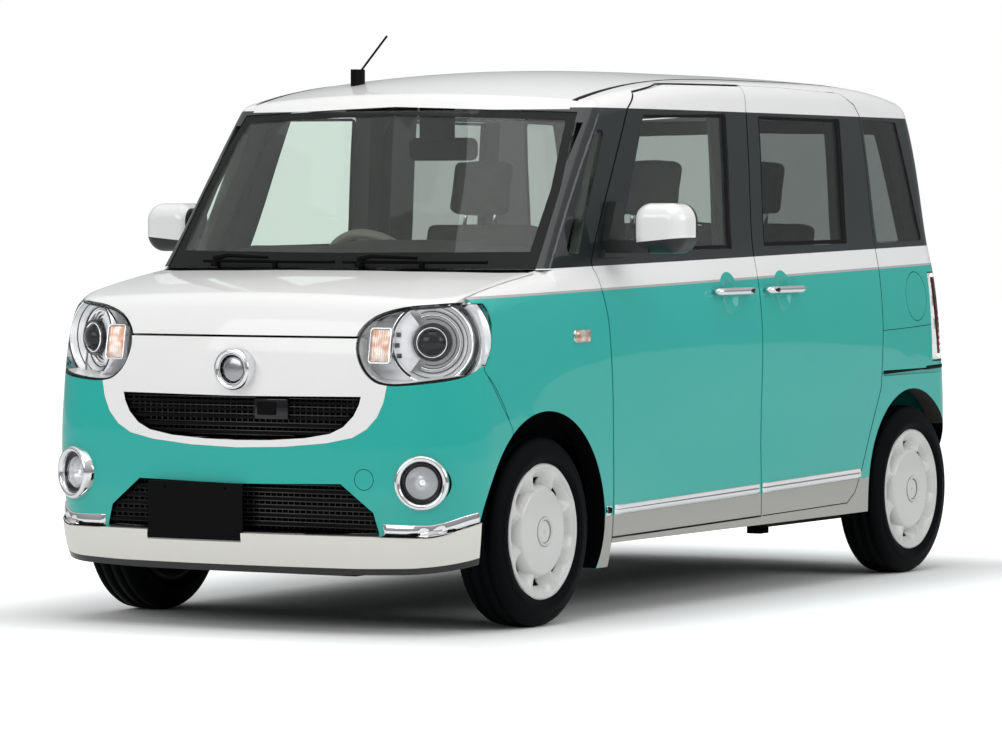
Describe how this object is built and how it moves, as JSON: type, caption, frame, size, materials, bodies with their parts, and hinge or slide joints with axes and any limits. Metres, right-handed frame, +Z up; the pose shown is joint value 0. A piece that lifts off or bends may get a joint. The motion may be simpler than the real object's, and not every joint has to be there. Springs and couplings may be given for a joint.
{
  "type": "kei car",
  "caption": "Tall kei-class wagon with hinged front doors, sliding rear doors, bonnet and tailgate, in white over aqua.",
  "frame": {"origin": "centre of the car's footprint on the road", "axes": "+Z up, -Y towards the car's front, +X towards the car's left"},
  "size_m": [1.922, 3.3971, 1.7626],
  "materials": {
    "aqua_paint": "gloss",
    "white_paint": "gloss",
    "pearl_trim": "gloss",
    "black_plastic": "satin",
    "chrome": "polished",
    "clear_lens": "polished",
    "red_lens": "gloss",
    "green_glass": "polished",
    "dark_glass": "polished",
    "underbody": "satin",
    "cast_metal": "rough",
    "bare_steel": "satin",
    "seat_cloth": "matte",
    "dash_plastic": "satin",
    "tyre": "matte",
    "wheel_white": "gloss",
    "grey_leather": "satin"
  },
  "bodies": {
    "body": {"floor_pan": "underbody", "chassis_rails": "underbody", "undertray": "underbody", "body_side_left": "aqua_paint", "body_side_right": "aqua_paint", "roof_panel": "white_paint", "front_fender_left": "aqua_paint", "front_fender_right": "aqua_paint", "cowl": "underbody", "front_bumper": "aqua_paint", "front_garnish": "white_paint", "front_lip": "pearl_trim", "grilles": "black_plastic", "headlamps": "clear_lens", "fog_lamps": "clear_lens", "number_plate": "black_plastic", "windscreen": "green_glass", "side_glass": "dark_glass", "sliding_door_left": "aqua_paint", "sliding_door_right": "aqua_paint", "sliding_door_handles": "chrome", "rear_bumper": "aqua_paint", "tail_lamps": "red_lens", "dashboard": "dash_plastic", "front_seats": "seat_cloth", "rear_seat": "seat_cloth", "seat_frames": "underbody", "cabin_mirror": "black_plastic", "engine_block": "cast_metal", "exhaust": "bare_steel", "rear_axle": "cast_metal", "front_suspension": "cast_metal", "roof_antenna": "black_plastic", "front_wipers": "black_plastic", "steering_column": "dash_plastic"},
    "bonnet": {"bonnet": "white_paint"},
    "tailgate": {"tailgate": "aqua_paint", "tailgate_glass": "dark_glass", "tailgate_trim": "chrome"},
    "fuel_lid": {"fuel_lid": "aqua_paint"},
    "steering_wheel": {"steering_wheel": "grey_leather"},
    "front_door_left": {"front_door_left": "aqua_paint", "front_door_glass_left": "green_glass", "door_mirror_left": "white_paint", "door_handle_left": "chrome"},
    "knuckle_left": {"knuckle_left": "cast_metal"},
    "wheel_front_left": {"wheel_front_left": "wheel_white", "tyre_front_left": "tyre"},
    "wheel_rear_left": {"wheel_rear_left": "wheel_white", "tyre_rear_left": "tyre"},
    "front_door_right": {"front_door_right": "aqua_paint", "front_door_glass_right": "green_glass", "door_mirror_right": "white_paint", "door_handle_right": "chrome"},
    "knuckle_right": {"knuckle_right": "cast_metal"},
    "wheel_front_right": {"wheel_front_right": "wheel_white", "tyre_front_right": "tyre"},
    "wheel_rear_right": {"wheel_rear_right": "wheel_white", "tyre_rear_right": "tyre"}
  },
  "joints": [
    {"name": "bonnet_hinge", "type": "hinge", "parent": "body", "child": "bonnet", "pos_m": [0, -1.088, 1.05], "axis": [-1, 0, 0], "range_deg": [0, 50]},
    {"name": "front_door_left_hinge", "type": "hinge", "parent": "body", "child": "front_door_left", "pos_m": [0.722, -0.79, 0.6], "axis": [0, 0, -1], "range_deg": [0, 67]},
    {"name": "front_door_right_hinge", "type": "hinge", "parent": "body", "child": "front_door_right", "pos_m": [-0.722, -0.79, 0.6], "axis": [0, 0, 1], "range_deg": [0, 67]},
    {"name": "tailgate_hinge", "type": "hinge", "parent": "body", "child": "tailgate", "pos_m": [0, 1.505, 1.545], "axis": [1, 0, 0], "range_deg": [0, 80]},
    {"name": "fuel_lid_hinge", "type": "hinge", "parent": "body", "child": "fuel_lid", "pos_m": [0.7145, 1.289, 0.92], "axis": [0, 0, -1], "range_deg": [0, 85]},
    {"name": "steer_left", "type": "hinge", "parent": "body", "child": "knuckle_left", "pos_m": [0.6, -1.137, 0.2785], "axis": [0, 0, 1], "range_deg": [-35, 35]},
    {"name": "steer_right", "type": "hinge", "parent": "body", "child": "knuckle_right", "pos_m": [-0.6, -1.137, 0.2785], "axis": [0, 0, 1], "range_deg": [-35, 35]},
    {"name": "steering_wheel_turn", "type": "hinge", "parent": "body", "child": "steering_wheel", "pos_m": [-0.31, -0.4, 0.985], "axis": [0, 0.8829, 0.4695], "range_deg": [-540, 540]},
    {"name": "front_wheel_left_spin", "type": "hinge", "parent": "knuckle_left", "child": "wheel_front_left", "pos_m": [0.65, -1.137, 0.2785], "axis": [1, 0, 0], "continuous": true},
    {"name": "rear_wheel_left_spin", "type": "hinge", "parent": "body", "child": "wheel_rear_left", "pos_m": [0.65, 1.318, 0.2785], "axis": [1, 0, 0], "continuous": true},
    {"name": "front_wheel_right_spin", "type": "hinge", "parent": "knuckle_right", "child": "wheel_front_right", "pos_m": [-0.65, -1.137, 0.2785], "axis": [1, 0, 0], "continuous": true},
    {"name": "rear_wheel_right_spin", "type": "hinge", "parent": "body", "child": "wheel_rear_right", "pos_m": [-0.65, 1.318, 0.2785], "axis": [1, 0, 0], "continuous": true}
  ],
  "couplings": [
    {"joint": "steer_right", "follows": "steer_left", "ratio": 1},
    {"joint": "steering_wheel_turn", "follows": "steer_left", "ratio": 15}
  ]
}
